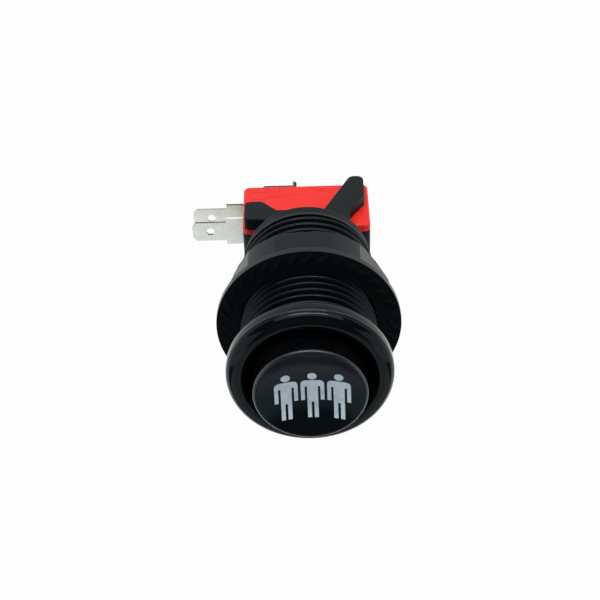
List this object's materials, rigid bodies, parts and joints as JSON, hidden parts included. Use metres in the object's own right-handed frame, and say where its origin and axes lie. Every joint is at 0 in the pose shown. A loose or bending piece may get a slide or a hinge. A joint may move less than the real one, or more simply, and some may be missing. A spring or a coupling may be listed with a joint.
{
  "type": "arcade push button",
  "caption": "Arcade push button: round bezel, threaded barrel, serrated panel nut with six flats, sprung plunger with a dished face, and a snap-action switch with blade terminals clipped behind it.",
  "frame": {"origin": "centre of the bezel's seat, in the plane of the panel's front face", "axes": "+Z out of the panel along the plunger's axis, the switch's cover faces -Y, and its side terminals point to +X"},
  "size_m": [0.0442, 0.0376, 0.0693],
  "materials": {
    "black_gloss": "moulded gloss",
    "black_satin": "moulded satin",
    "switch_black": "moulded satin",
    "switch_red": "moulded satin",
    "actuator_red": "moulded",
    "tinned_brass": "tin plated",
    "spring_steel": "drawn wire",
    "copper_blade": "rolled",
    "silver_contact": "satin"
  },
  "bodies": {
    "housing": {"threaded_body": "black_gloss", "return_spring": "spring_steel", "switch_holder": "black_satin", "switch_base": "switch_black", "switch_cover": "switch_red", "normally_closed_terminal": "tinned_brass", "normally_open_terminal": "tinned_brass", "common_terminal": "tinned_brass", "normally_closed_contact": "silver_contact", "normally_open_contact": "silver_contact"},
    "button": {"plunger": "black_gloss"},
    "actuator": {"switch_actuator": "actuator_red"},
    "contact_arm": {"moving_blade": "copper_blade", "moving_contact": "silver_contact", "snap_spring": "copper_blade"},
    "nut": {"panel_nut": "black_satin"}
  },
  "joints": [
    {"name": "button_press", "type": "slide", "parent": "housing", "child": "button", "axis": [0, 0, -1], "range_m": [0, 0.0036], "stiffness_N_per_m": 300, "springref_m": -0.003, "deforming": ["return_spring"]},
    {"name": "actuator_press", "type": "slide", "parent": "housing", "child": "actuator", "axis": [0, 0, -1], "range_m": [0, 0.0013]},
    {"name": "contact_swing", "type": "hinge", "parent": "housing", "child": "contact_arm", "pos_m": [-0.007, 0, -0.0502], "axis": [0, 1, 0], "range_deg": [0, 3.79]},
    {"name": "nut_travel", "type": "slide", "parent": "housing", "child": "nut", "axis": [0, 0, -1], "range_m": [-0.012, 0.0099]}
  ],
  "couplings": [
    {"joint": "actuator_press", "follows": "button_press", "ratio": 0.361},
    {"joint": "contact_swing", "follows": "button_press", "rad_per_m": 18.37}
  ]
}
